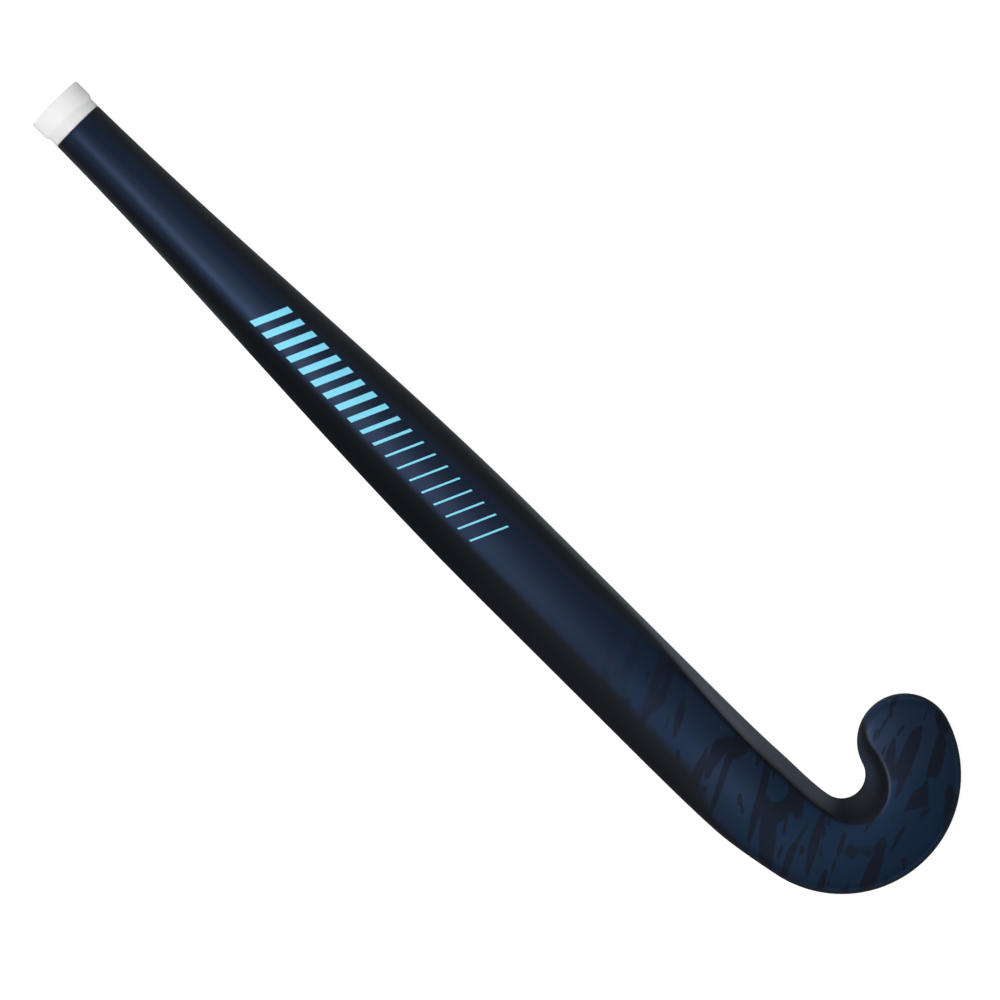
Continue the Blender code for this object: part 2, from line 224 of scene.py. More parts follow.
def through(stops, at):
    """Value at a place, easing through (place, value) stops."""
    value = stops[0][1]
    for (start, _), (end, end_value) in zip(stops, stops[1:]):
        value = mix(value, end_value, smooth(start, end, at))
    return value


def split(place):
    """The three parts of a place."""
    parts = add_node(place.tree, "ShaderNodeSeparateXYZ", {"Vector": place})
    return [Field(parts.outputs[axis]) for axis in "XYZ"]


def join(tree, x=0.0, y=0.0, z=0.0):
    """A place from its three parts."""
    return result(tree, "ShaderNodeCombineXYZ", "Vector", {"X": x, "Y": y, "Z": z})


def named_attribute(tree, name, kind="FLOAT"):
    return result(
        tree, "GeometryNodeInputNamedAttribute", "Attribute", {"Name": name}, data_type=kind)


COLUMN_WIDTH, ROW_HEIGHT = 220, 180


def lay_out(tree):
    """Put each node right of all that feed it, so that the tree can be read."""
    depth = {node.name: 0 for node in tree.nodes}
    moved = True
    while moved:
        moved = False
        for link in tree.links:
            least = depth[link.from_node.name] + 1
            if depth[link.to_node.name] < least:
                depth[link.to_node.name] = least
                moved = True
    rows = {}
    for node in tree.nodes:
        column = depth[node.name]
        rows[column] = rows.get(column, 0) + 1
        node.location = (column * COLUMN_WIDTH, rows[column] * -ROW_HEIGHT)


# The section rule as a Geometry Nodes tree

SECTION_SIZES = {
    "Handle Width": HANDLE_WIDTH,
    "Shaft Width": SHAFT_WIDTH,
    "Head Width": HEAD_WIDTH,
    "Handle Depth": HANDLE_DEPTH,
    "Shaft Depth": SHAFT_DEPTH,
    "Head Depth": HEAD_DEPTH,
    "Handle Crown": HANDLE_CROWN,
    "Shaft Crown": SHAFT_CROWN,
    "Head Crown": HEAD_CROWN,
    "Handle Flank": HANDLE_FLANK,
    "Shaft Flank": SHAFT_FLANK,
    "Shaft Bevel": SHAFT_BEVEL,
    "Crook Bevel": CROOK_BEVEL,
    "Toe Bevel": TOE_BEVEL,
    "Shaft Scoop": SHAFT_SCOOP,
    "Crook Scoop": CROOK_SCOOP,
    "Bow Height": BOW_HEIGHT,
}


def section_sizes(size, along, turn, inset):
    """The half section's sizes at a distance along the stick and a turn round the toe.

    A turn of 0 is the toe side and pi the heel side, which meet round the toe. The cavity
    leaves the bevel's scoop solid, so its half section ends behind the ridge.
    """
    to_shaft = smooth(0.0, TAPER_LENGTH, along)
    to_oval = smooth(0.0, OVAL_LENGTH, along)
    to_head = smooth(BEVEL_FULL, NECK_END, along)
    runout = smooth(0.0, BEVEL_END_ANGLE, turn)

    def along_stick(name, first=to_shaft):
        shaft = mix(size["Handle " + name], size["Shaft " + name], first)
        return mix(shaft, size["Head " + name], to_head)

    back_flank = mix(size["Handle Flank"], size["Shaft Flank"], to_oval)
    rim = EDGE_STRIP + RIDGE_ROUND
    heel_flank = mix(back_flank, rim, smooth(NECK_END - FLANK_RUNOUT, BEVEL_FULL, along))
    heel_edge = mix(
        mix(HANDLE_EDGE_HEIGHT, SHAFT_EDGE_HEIGHT, to_oval), HEAD_EDGE_HEIGHT, to_head)
    bevel = through([
        (BEVEL_START, EDGE_STRIP),
        (BEVEL_FULL, size["Shaft Bevel"]),
        (NECK_END, size["Shaft Bevel"]),
        (CROOK, size["Crook Bevel"]),
        (STICK_END, size["Toe Bevel"]),
    ], along)
    scoop = through([
        (BEVEL_START, 0.0),
        (BEVEL_FULL, size["Shaft Scoop"]),
        (CROOK, size["Crook Scoop"]),
    ], along)
    behind_ridge = bevel + RIDGE_ROUND
    toe_flank = mix(
        greater(back_flank, behind_ridge), behind_ridge, smooth(BEVEL_START, BEVEL_FULL, along))
    lip = mix(heel_edge, LIP_HEIGHT, smooth(BEVEL_START, CROOK, along))

    half = {
        "width": along_stick("Width") / 2 + TOE_SWELL * sine(turn),
        "depth": along_stick("Depth"),
        "crown": along_stick("Crown", to_oval),
        "flank": mix(toe_flank, heel_flank, runout),
        "edge": mix(lip, heel_edge, smooth(0.0, math.pi, turn)),
        "under": mix(HANDLE_UNDER_ROUND, FACE_EDGE_ROUND, to_oval),
        "bevel": mix(bevel, EDGE_STRIP, runout),
        "scoop": mix(scoop, 0.0, runout),
    }
    in_cavity = ramp(0.0, SHELL_WALL, inset)
    taken = half["bevel"] - EDGE_STRIP
    half["width"] = half["width"] - CORE_SETBACK * taken * in_cavity
    half["flank"] = mix(half["flank"], greater(half["flank"] - taken, CORE_CORNER), in_cavity)
    half["bevel"] = mix(half["bevel"], EDGE_STRIP, in_cavity)
    half["scoop"] = half["scoop"] * (1 - in_cavity)
    return half


def section_point(half, inset, profile):
    """(across, up) at a place on the half section, from the crown to the middle of the face."""
    reach = half["flank"] - inset
    flank_start = half["width"] - half["flank"]
    edge_at = half["width"] - inset
    drop = half["depth"] - half["crown"] - half["edge"] - inset
    ridge_at = edge_at - half["bevel"]
    ridge_turn = calculate("ARCSINE", 1 - half["bevel"] / reach)

    on_back, on_bevel, under, on_face = (
        ramp(at, at + 1, profile) for at in (AT_CROWN, AT_RIDGE, AT_EDGE, AT_FACE))

    def top(across):
        share = lesser(greater((across - flank_start) / reach, 0.0), 1.0)
        fall = 1 - calculate("SQRT", 1 - share * share)
        dome = half["crown"] * (across / edge_at) ** 2
        return half["depth"] - inset - dome - drop * fall

    plain = ridge_at * on_back + (
        flank_start + reach * sine(mix(ridge_turn, QUARTER, on_bevel)) - ridge_at)
    scooped = edge_at - half["bevel"] * cosine(QUARTER * on_bevel)
    scooped_up = mix(top(ridge_at), half["edge"], sine(QUARTER * on_bevel))
    scoop = half["scoop"] * calculate("GREATER_THAN", on_bevel, 0.0)
    across = mix(plain, scooped, scoop)
    up = mix(top(plain), scooped_up, scoop)

    is_under = calculate("GREATER_THAN", under, 0.0)
    round_across = half["width"] - half["under"] + (half["under"] - inset) * cosine(QUARTER * under)
    across = mix(across, round_across, is_under) * (1 - on_face)
    up = mix(up, mix(half["edge"], inset, sine(QUARTER * under)), is_under)
    return across, up


def stick_point(size, walk, profile):
    """The place in space of a parameter point, and its place on the unbent stick."""
    along, turn, inset = split(walk)
    half = section_sizes(size, along, turn, inset)
    across, up = section_point(half, inset, profile)

    share = ramp(NECK_START, NECK_END, along)
    past = greater(along - NECK_END, 0.0) / HOOK_RADIUS
    hook = past + NECK_ANGLE
    line_x = lesser(along, NECK_END) + HOOK_RADIUS * (sine(hook) - math.sin(NECK_ANGLE))
    line_y = NECK_RISE * share ** NECK_POWER + HOOK_RADIUS * (math.cos(NECK_ANGLE) - cosine(hook))
    heading = calculate("ARCTANGENT", NECK_SLOPE * share ** (NECK_POWER - 1)) + past
    facing = heading + QUARTER - turn

    from_flat = ramp(FLAT_START, 0.0, line_x)
    eased = lesser(from_flat, BOW_EASE) ** 2 / (2 * BOW_EASE)
    eased = (eased + greater(from_flat - BOW_EASE, 0.0)) / (1 - BOW_EASE / 2)
    bow = 4 * size["Bow Height"] * eased * (1 - eased) + FLANGE_LIP * eased

    point = join(
        walk.tree,
        line_x + across * cosine(facing) + BUTT_X,
        line_y + across * sine(facing) + SHAFT_Y,
        up + bow,
    )
    unbent = join(walk.tree, along + across * sine(turn), across * cosine(turn), up)
    return point, unbent


def new_geometry_tree(name, inputs):
    """A Geometry Nodes tree with a geometry in and out, and inputs of (name, type, value)."""
    tree = bpy.data.node_groups.new(name, "GeometryNodeTree")
    tree.interface.new_socket("Geometry", in_out="OUTPUT", socket_type="NodeSocketGeometry")
    tree.interface.new_socket("Geometry", in_out="INPUT", socket_type="NodeSocketGeometry")
    for socket_name, kind, value in inputs:
        socket = tree.interface.new_socket(socket_name, in_out="INPUT", socket_type=kind)
        if value is not None:
            socket.default_value = value
    group_in = tree.nodes.new("NodeGroupInput")
    return tree, {socket.name: Field(socket) for socket in group_in.outputs if socket.name}


def end_tree(tree, geometry, material):
    """Realize what is instanced, give it its material and put it out."""
    solid = result(tree, "GeometryNodeRealizeInstances", "Geometry", {"Geometry": geometry})
    painted = result(tree, "GeometryNodeSetMaterial", "Geometry", {
        "Geometry": solid, "Material": material,
    })
    add_node(tree, "NodeGroupOutput", {"Geometry": painted})
    lay_out(tree)
    return tree


# Points nearer than this become one, which closes the seams
SEAM_GAP = 0.00001


def make_loft_tree():
    """Stands a flat net of parameter points up into the stick's skin."""
    inputs = [(name, "NodeSocketFloat", value) for name, value in SECTION_SIZES.items()]
    inputs.append(("Seam Gap", "NodeSocketFloat", SEAM_GAP))
    inputs.append(("Material", "NodeSocketMaterial", None))
    tree, given = new_geometry_tree("stick_loft", inputs)
    walk = named_attribute(tree, "walk", "FLOAT_VECTOR")
    profile = named_attribute(tree, "profile")
    point, unbent = stick_point(given, walk, profile)
    net = result(tree, "GeometryNodeStoreNamedAttribute", "Geometry", {
        "Geometry": given["Geometry"], "Name": "unbent", "Value": unbent,
    }, data_type="FLOAT_VECTOR", domain="POINT")
    placed = result(tree, "GeometryNodeSetPosition", "Geometry", {
        "Geometry": net, "Position": point,
    })
    merged = result(tree, "GeometryNodeMergeByDistance", "Geometry", {
        "Geometry": placed, "Distance": given["Seam Gap"],
    })
    rounded = result(tree, "GeometryNodeSetShadeSmooth", "Geometry", {"Geometry": merged})
    return end_tree(tree, rounded, given["Material"])


def add_tree(item, tree, **values):
    """A Geometry Nodes modifier, with its inputs set by their sockets' identifiers."""
    modifier = item.modifiers.new(tree.name, "NODES")
    modifier.node_group = tree
    sockets = {socket.name: socket.identifier for socket in tree.interface.items_tree}
    for name, value in values.items():
        modifier[sockets[name.replace("_", " ")]] = value


def settle(item):
    """Turn an object with modifiers into a plain mesh."""
    bpy.context.view_layer.update()
    evaluated = item.evaluated_get(bpy.context.evaluated_depsgraph_get())
    mesh = bpy.data.meshes.new_from_object(evaluated)
    mesh.name = item.name
    item.modifiers.clear()
    item.data = mesh
    return item


def new_item(name, data):
    item = bpy.data.objects.new(name, data)
    bpy.context.scene.collection.objects.link(item)
    return item


# Walks round the skins, as lists of (along, turn, inset)

HEEL = math.pi

# Distance of the points beside a corner, and the most of a step that it takes up
RIM_EASE = 0.00025
CORNER_EASE = 0.0003
MOST_EASE = 0.4

# Rings of the cap: inside its flat ends and along its flange, and how far the step's
# curve starts before the step and ends after it, as a share of the step
FLAT_RING = 0.0030
FLANGE_RING = 0.6
STEP_OVERRUN = 0.25

# Number of steps along and round the walks, and over the section
SHAFT_STEPS, NECK_STEPS, HOOK_STEPS, TOE_STEPS = 154, 66, 69, 40
CAVITY_SHAFT_STEPS, CAVITY_HEAD_STEPS, CAVITY_TOE_STEPS = 50, 40, 16
FLANGE_EDGE_STEPS, FLANGE_STEP_STEPS = 5, 8
BACK_STEPS, BEVEL_STEPS, UNDER_STEPS, FACE_STEPS = 9, 5, 6, 4
BEFORE_RIDGE, AFTER_RIDGE = 0.975, 1.05


def evenly(start, end, count):
    return [start + (end - start) * step / count for step in range(count + 1)]


def eased_corners(points, ease):
    """A run of points whose inner corners are each replaced by a point on either side."""
    run = [points[0]]
    for before, corner, after in zip(points, points[1:], points[2:]):
        corner = Vector(corner)
        for other in (Vector(before), Vector(after)):
            step = other - corner
            run.append(tuple(corner + step * min(ease / step.length, MOST_EASE)))
    return run + [points[-1]]


def shell_walk():
    """Closed walk of the shell: out over the rim, round the toe, back and round inside."""
    shaft = evenly(SHELL_START, NECK_START, SHAFT_STEPS)
    neck = evenly(NECK_START, NECK_END, NECK_STEPS)
    hook = evenly(NECK_END, STICK_END, HOOK_STEPS)
    outer = shaft[1:] + neck[1:] + hook[1:]
    inner = evenly(SHELL_START, NECK_START, CAVITY_SHAFT_STEPS)[1:]
    inner += evenly(NECK_START, STICK_END, CAVITY_HEAD_STEPS)[1:]
    rim = eased_corners([
        (inner[0], SHELL_WALL),
        (SHELL_START, SHELL_WALL),
        (SHELL_START, 0.0),
        (outer[0], 0.0),
    ], RIM_EASE)

    toe_side = [(along, 0.0, SHELL_WALL) for along in inner[:0:-1]]
    toe_side += [(along, 0.0, inset) for along, inset in rim]
    toe_side += [(along, 0.0, 0.0) for along in outer[1:]]
    round_toe = [(STICK_END, turn, 0.0) for turn in evenly(0.0, HEEL, TOE_STEPS)[1:-1]]
    heel_side = [(along, HEEL, inset) for along, _, inset in reversed(toe_side)]
    round_inside = [
        (STICK_END, turn, SHELL_WALL) for turn in evenly(HEEL, 0.0, CAVITY_TOE_STEPS)[1:-1]]
    return toe_side + round_toe + heel_side + round_inside


def cap_walk():
    """Closed walk of the cap: end face, flange, neck, spigot and the hollow inside it."""
    spigot_inset = SHELL_WALL + FIT_GAP + CRUSH_RIB_HEIGHT
    hollow_inset = spigot_inset + SPIGOT_WALL
    end_flat = FLANGE_EDGE_ROUND - FLANGE_LIP
    side = [(0.0, end_flat + FLAT_RING), (0.0, end_flat + CORNER_EASE)]
    for turn in evenly(0.0, QUARTER, FLANGE_EDGE_STEPS):
        side.append((
            FLANGE_EDGE_ROUND * (1 - math.cos(turn)),
            FLANGE_EDGE_ROUND * (1 - math.sin(turn)) - FLANGE_LIP,
        ))
    side.append((FLANGE_LENGTH * FLANGE_RING, -FLANGE_LIP))
    step_start = FLANGE_LENGTH - STEP_OVERRUN * FLANGE_STEP
    step_length = (1 + 2 * STEP_OVERRUN) * FLANGE_STEP
    for share in evenly(0.0, 1.0, FLANGE_STEP_STEPS):
        fall = share * share * (3 - 2 * share)
        side.append((step_start + share * step_length, -FLANGE_LIP * (1 - fall)))
    side += eased_corners([
        (CAP_VISIBLE_LENGTH - 2 * CORNER_EASE, 0.0),
        (CAP_VISIBLE_LENGTH, 0.0),
        (CAP_VISIBLE_LENGTH, spigot_inset),
        (SPIGOT_END - SPIGOT_LEAD_IN, spigot_inset),
        (SPIGOT_END, spigot_inset + CRUSH_RIB_HEIGHT),
        (SPIGOT_END, hollow_inset),
        (CAP_FLOOR, hollow_inset),
        (CAP_FLOOR, hollow_inset + FLAT_RING),
    ], CORNER_EASE)
    toe_side = [(along, 0.0, inset) for along, inset in side]
    heel_side = [(along, HEEL, inset) for along, _, inset in reversed(toe_side)]
    return toe_side + heel_side


def profile_stops():
    """Places on the half section, closer together on both sides of the ridge."""
    back = evenly(AT_CROWN, AT_RIDGE, BACK_STEPS)
    back.insert(-1, BEFORE_RIDGE)
    bevel = [AFTER_RIDGE] + evenly(AT_RIDGE, AT_EDGE, BEVEL_STEPS)[1:]
    under = evenly(AT_EDGE, AT_FACE, UNDER_STEPS)[1:]
    face = evenly(AT_FACE, AT_MIDDLE, FACE_STEPS)[1:]
    return back + bevel + under + face


def parameter_net(name, walk):
    """A flat net, a row for each place on the section and a column for each walk point.

    Where the walk crosses from one side to the other, the net closes a flat end, and one
    face takes in all that lies on the line of the playing face.
    """
    profile = profile_stops()
    walk = walk + walk[:1]
    rows = len(profile)
    points = [(column, row, 0.0) for column in range(len(walk)) for row in range(rows)]
    faces = []
    for column in range(len(walk) - 1):
        top = column * rows
        crosses = abs(walk[column + 1][1] - walk[column][1]) == HEEL
        last = profile.index(AT_FACE) - 1 if crosses else rows - 1
        for corner in range(top, top + last):
            faces.append((corner, corner + rows, corner + rows + 1, corner + 1))
        if crosses:
            near, far = range(top + last, top + rows), range(top + rows + last, top + 2 * rows)
            faces.append((near[0], *far, *near[:0:-1]))
    mesh = bpy.data.meshes.new(name)
    mesh.from_pydata(points, [], faces)
    walked = mesh.attributes.new("walk", "FLOAT_VECTOR", "POINT")
    walked.data.foreach_set("vector", [value for at in walk for _ in profile for value in at])
    profiled = mesh.attributes.new("profile", "FLOAT", "POINT")
    profiled.data.foreach_set("value", profile * len(walk))
    return mesh


def make_skin(name, walk, material):
    """A closed piece of the stick: the net of a walk, lofted and then rounded."""
    item = new_item(name, parameter_net(name, walk))
    add_tree(item, loft_tree, Material=material)
    rounding = item.modifiers.new("rounding", "SUBSURF")
    rounding.levels = rounding.render_levels = 1
    return settle(item)


# Light-blue bars of the shaft, laid on the shell from above

# Sizes in metres, and where in the row the bars begin and end to grow thin
BAR_COUNT = 19
BAR_PITCH = 0.0137
BAR_HEIGHT = 0.030
BOLD_BAR, THIN_BAR = 0.0062, 0.0018
BAR_SLANT = math.radians(24)
FIRST_BAR = 0.246
BARS_Y = SHAFT_Y + 0.0015
BOLD_UNTIL, THIN_FROM = 0.35, 0.65
INK_THICKNESS = 0.00004
ABOVE_THE_STICK = 0.2
BAR_GRID = {"Vertices X": 4, "Vertices Y": 25, "Vertices Z": 2}


def make_bars_tree():
    """A row of slanted bars, bold at first and then thin, pressed onto a surface below."""
    tree, given = new_geometry_tree("shaft_bars", [
        ("Surface", "NodeSocketObject", None),
        ("Count", "NodeSocketInt", BAR_COUNT),
        ("Pitch", "NodeSocketFloat", BAR_PITCH),
        ("Height", "NodeSocketFloat", BAR_HEIGHT),
        ("Bold Width", "NodeSocketFloat", BOLD_BAR),
        ("Thin Width", "NodeSocketFloat", THIN_BAR),
        ("Slant", "NodeSocketFloat", math.tan(BAR_SLANT)),
        ("Ink Thickness", "NodeSocketFloat", INK_THICKNESS),
        ("Material", "NodeSocketMaterial", None),
    ])
    row = result(tree, "GeometryNodeMeshLine", "Mesh", {
        "Count": given["Count"],
        "Start Location": (BUTT_X + FIRST_BAR, BARS_Y, 0.0),
        "Offset": join(tree, given["Pitch"]),
    })
    slab = result(
        tree, "GeometryNodeMeshCube", "Mesh", {"Size": (1.0, 1.0, 1.0), **BAR_GRID})
    place_in_row = result(tree, "GeometryNodeInputIndex", "Index") / (given["Count"] - 1)
    width = mix(
        given["Bold Width"], given["Thin Width"], smooth(BOLD_UNTIL, THIN_FROM, place_in_row))
    bars = result(tree, "GeometryNodeInstanceOnPoints", "Instances", {
        "Points": row, "Instance": slab, "Scale": join(tree, width, given["Height"], 1.0),
    })
    solid = result(tree, "GeometryNodeRealizeInstances", "Geometry", {"Geometry": bars})
    x, y, z = split(result(tree, "GeometryNodeInputPosition", "Position"))
    slanted = x + (y - BARS_Y) * given["Slant"]
    landing = result(tree, "GeometryNodeRaycast", "Hit Position", {
        "Target Geometry": result(
            tree, "GeometryNodeObjectInfo", "Geometry", {"Object": given["Surface"]}),
        "Source Position": join(tree, slanted, y, ABOVE_THE_STICK),
        "Ray Direction": (0.0, 0.0, -1.0),
        "Ray Length": 1.0,
    })
    _, _, landed = split(landing)
    lifted = landed + z * 2 * given["Ink Thickness"]
    pressed = result(tree, "GeometryNodeSetPosition", "Geometry", {
        "Geometry": solid, "Position": join(tree, slanted, y, lifted),
    })
    return end_tree(tree, pressed, given["Material"])


def make_bars(name, surface, material):
    item = new_item(name, bpy.data.meshes.new(name))
    add_tree(item, make_bars_tree(), Surface=surface, Material=material)
    return settle(item)


# Effects that several finishes share

def srgb(red, green, blue):
    """A screen colour of 0 to 255 as the linear values that shaders take."""
    shares = (red / 255, green / 255, blue / 255)
    return tuple(
        share / 12.92 if share <= 0.04045 else ((share + 0.055) / 1.055) ** 2.4
        for share in shares
    ) + (1.0,)


def new_effect(name, inputs, outputs):
    """A shader group with a Place and other inputs; its outputs are fed by end_effect."""
    tree = bpy.data.node_groups.new(name, "ShaderNodeTree")
    tree.interface.new_socket("Place", in_out="INPUT", socket_type="NodeSocketVector")
    for socket_name, value in inputs.items():
        socket = tree.interface.new_socket(
            socket_name, in_out="INPUT", socket_type="NodeSocketFloat")
        socket.default_value = value
    for socket_name in outputs:
        tree.interface.new_socket(socket_name, in_out="OUTPUT", socket_type="NodeSocketFloat")
    group_in = tree.nodes.new("NodeGroupInput")
    return tree, {socket.name: Field(socket) for socket in group_in.outputs if socket.name}


def end_effect(tree, **outputs):
    add_node(tree, "NodeGroupOutput", outputs)
    lay_out(tree)
    return tree


def use_effect(tree, effect, place, **inputs):
    """Place an effect in a material; gives its outputs by name."""
    node = add_node(tree, "ShaderNodeGroup", {"Place": place, **inputs}, node_tree=effect)
    return {socket.name: Field(socket) for socket in node.outputs}


def stretched(place, x, y, z):
    """A place whose pattern is drawn out: a small share of an axis makes it longer there."""
    return result(place.tree, "ShaderNodeMapping", "Vector", {"Vector": place, "Scale": (x, y, z)})


def turned(place, angle, shares):
    """A place turned about the upright axis and then stretched."""
    swung = result(place.tree, "ShaderNodeMapping", "Vector", {
        "Vector": place, "Rotation": (0.0, 0.0, angle),
    }, vector_type="TEXTURE")
    return stretched(swung, *shares)


def noise(place, scale, detail=2.0, distortion=0.0):
    """Soft noise of 0 to 1, at a scale in waves to the metre."""
    return result(place.tree, "ShaderNodeTexNoise", "Fac", {
        "Vector": place, "Scale": scale, "Detail": detail, "Distortion": distortion,
    })


def cells(place, scale):
    """Distance from the middle of the nearest cell, at a scale in cells to the metre."""
    return result(
        place.tree, "ShaderNodeTexVoronoi", "Distance", {"Vector": place, "Scale": scale})


def wave(at):
    """A sine that runs between 0 and 1."""
    return sine(at) * 0.5 + 0.5


def blend(main, rest, share):
    """Two patterns in one, of which the first makes up the share."""
    return main * share + rest * (1 - share)


# Numbers of the Mix node's sockets for colours
MIX_AMOUNT, MIX_A, MIX_B, MIX_RESULT = 0, 6, 7, 2


def mix_colour(a, b, amount):
    node = add_node(amount.tree, "ShaderNodeMix", data_type="RGBA")
    for number, value in ((MIX_AMOUNT, amount), (MIX_A, a), (MIX_B, b)):
        feed(node.inputs[number], value)
    return Field(node.outputs[MIX_RESULT])


# Levels of a pattern between which a mask changes, and large cells to a small one
SCUFF_LINE, SCUFF_PATCH = (0.64, 0.78), (0.5, 0.7)
DUST_SPECK, DUST_PATCH = (0.05, 0.12), (0.48, 0.66)
FOAM_PORE = (0.1, 0.55)
BEADS_TO_A_CELL = 0.3


def make_orange_peel():
    """Slow waves and fine grain of a sprayed and cured coat."""
    tree, given = new_effect("orange_peel", {"Wave": 260.0, "Grain": 1500.0}, ["Height"])
    waves = noise(given["Place"], given["Wave"], detail=1.0)
    grain = noise(given["Place"], given["Grain"], detail=1.0)
    return end_effect(tree, Height=blend(waves, grain, share=0.8))


def make_fine_scuffs():
    """Hair-fine rubs along the piece, in patches."""
    tree, given = new_effect("fine_scuffs", {"Amount": 0.5}, ["Mask"])
    lines = noise(stretched(given["Place"], 0.06, 1.0, 1.0), scale=1800.0, detail=1.0)
    patches = noise(given["Place"], scale=16.0)
    mask = smooth(*SCUFF_LINE, lines) * smooth(*SCUFF_PATCH, patches)
    return end_effect(tree, Mask=mask * given["Amount"])


def make_dust():
    """Sparse light specks."""
    tree, given = new_effect("dust", {"Amount": 0.5}, ["Mask"])
    specks = 1 - smooth(*DUST_SPECK, cells(given["Place"], scale=420.0))
    patches = smooth(*DUST_PATCH, noise(given["Place"], scale=30.0))
    return end_effect(tree, Mask=specks * patches * given["Amount"])


def make_fibre_plies():
    """Crossed plies of fibre tows, at 45 degrees to the stick."""
    tree, given = new_effect("fibre_plies", {"Tow": 900.0}, ["Height", "Mask"])
    x, y, _ = split(given["Place"])
    one_way, other_way = wave((x + y) * given["Tow"]), wave((x - y) * given["Tow"])
    weave = greater(one_way, other_way)
    fray = noise(given["Place"], scale=700.0)
    return end_effect(
        tree, Height=blend(weave, fray, share=0.8), Mask=one_way * (1 - other_way))


def make_foam_cells():
    """Burst cells of a cut or moulded foam."""
    tree, given = new_effect("foam_cells", {"Cells": 900.0}, ["Height", "Mask"])
    pores = smooth(*FOAM_PORE, cells(given["Place"], given["Cells"]))
    beads = cells(given["Place"], given["Cells"] * BEADS_TO_A_CELL)
    return end_effect(tree, Height=blend(pores, beads, share=0.6), Mask=1 - pores)


orange_peel = make_orange_peel()
fine_scuffs = make_fine_scuffs()
dust = make_dust()
fibre_plies = make_fibre_plies()
foam_cells = make_foam_cells()


# Finishes

def new_finish(name, **constants):
    """A material, its tree and its shader, whose sockets take the constants."""
    material = bpy.data.materials.new(name)
    material.use_nodes = True
    tree = material.node_tree
    tree.nodes.clear()
    shader = tree.nodes.new("ShaderNodeBsdfPrincipled")
    for socket_name, value in constants.items():
        feed(shader.inputs[socket_name.replace("_", " ")], value)
    surface = tree.nodes.new("ShaderNodeOutputMaterial")
    tree.links.new(shader.outputs["BSDF"], surface.inputs["Surface"])
    return material, tree, shader


def end_finish(material, shader, **varied):
    for socket_name, value in varied.items():
        feed(shader.inputs[socket_name.replace("_", " ")], value)
    lay_out(material.node_tree)
    return material


def object_place(tree):
    return result(tree, "ShaderNodeTexCoord", "Object")


def stored(tree, name, output):
    """What the loft has stored on the piece's points."""
    return result(tree, "ShaderNodeAttribute", output, attribute_name=name)


def relief(tree, height, depth):
    """A normal from a height of 0 to 1 that stands for a depth in metres."""
    return result(tree, "ShaderNodeBump", "Normal", {"Height": height, "Distance": depth})


def roughened(base, *patterns):
    """A base roughness, and what each (pattern, share) adds to it."""
    (first, first_share), *others = patterns
    rough = first * first_share + base
    for pattern, share in others:
        rough = rough + pattern * share
    return rough


# Colours of the lacquer

BLACK = srgb(8, 12, 17)
NECK_BLACK = srgb(21, 22, 29)
# Painted light on the crook's bevel, lighter towards the edge and round the toe; BLACK next to the
# ridge there is painted shade
CROOK_PAINTED_LIGHT = srgb(22, 27, 33)
TOE_PAINTED_LIGHT = srgb(36, 43, 57)
# Painted highlight along the ridge, from the crook to the toe
RIDGE_PAINTED_HIGHLIGHT = srgb(60, 67, 84)
# Painted reflection of side light on the bevel and on the shaft's inner rim
BEVEL_PAINTED_REFLECTION = srgb(72, 79, 89)
RIM_PAINTED_REFLECTION = srgb(76, 86, 88)
# Painted shade on the panel beside the ridge
RIDGE_PAINTED_SHADE = srgb(25, 29, 36)
NAVY = srgb(37, 49, 72)
PRINT_DARK = srgb(30, 37, 53)
PRINT_BLUE = srgb(38, 53, 79)
PRINT_TEAL = srgb(30, 52, 79)
COOL_GLOSS = srgb(222, 240, 255)
DUST_GREY = srgb(120, 126, 134)
PEARL, BLACK_PEARL = 0.7, 0.35
CROOK_DULL, BLACK_DULL = 0.10, 0.18

# Sides of the navy panel, as across at (along) stops, with the fade's half width
HEEL_SIDE = [
    (0.100, -0.0145), (0.400, -0.016), (0.600, -0.016), (0.740, -0.0185), (0.790, -0.034),
    (0.860, -0.046),
]
TOE_SIDE = [(0.050, 0.012), (0.560, 0.024), (0.760, 0.042)]
HEEL_FADE = [(0.0, 0.0045), (0.300, 0.0032), (0.600, 0.0032), (0.740, 0.0060), (0.820, 0.0030)]
TOE_FADE = 0.0070
MIDDLE_FADE = 0.01

# Marks of the print: share of an axis that draws them out, noise scale, detail and
# distortion, and the level of noise that they start at
PATCHES = (0.46, 36.0, 1.6, 0.5, 0.40)
STROKES = (0.17, 72.0, 0.5, 0.4, 0.62)
DASHES = (0.36, 130.0, 0.5, 0.3, 0.69)
PRINT_TURN = math.radians(26)
FAINT_PRINT, CRISP_PRINT = 0.100, 0.012
TEAL_PATCH = (0.4, 0.6)

# Where the lacquer changes along the stick, mostly as (start, end)
PRINT_START, PRINT_FULL = 0.580, 0.740
PRINT_SHARPENS = (0.630, PRINT_FULL)
# Where the painted shade beside the ridge grows, narrows and ends
SHADE_GROWS, SHADE_NARROWS = (0.480, 0.620), (0.640, 0.740)
SHADE_ENDS = (CROOK - 0.03, CROOK + 0.02)
# Where the painted reflection on the inner rim grows, sharpens into the bevel and ends
RIM_REFLECTION_STRENGTH = [(0.380, 0.0), (0.540, 0.8), (0.680, 1.0)]
BEVEL_SHARPENS = (BEVEL_START, 0.720)
REFLECTION_ENDS = (NECK_END - 0.012, 0.880)
NECK_ON_HEEL_SIDE, NECK_ON_TOE_SIDE, NECK_FADE = 0.440, 0.560, 0.19
# Where the painted highlight beside the ridge grows
HIGHLIGHT_GROWS = (CROOK - 0.005, CROOK + 0.045)
TOE_GROWS = (0.800, 0.840)

# Where it changes round the toe, in radians
BEVEL_END, TOE_TOP = math.radians(50), math.radians(125)
BEVEL_RUNS_OUT = (BEVEL_END - 0.15, BEVEL_END + 0.35)
OVER_EDGE_ENDS = (TOE_TOP - 0.5, TOE_TOP)

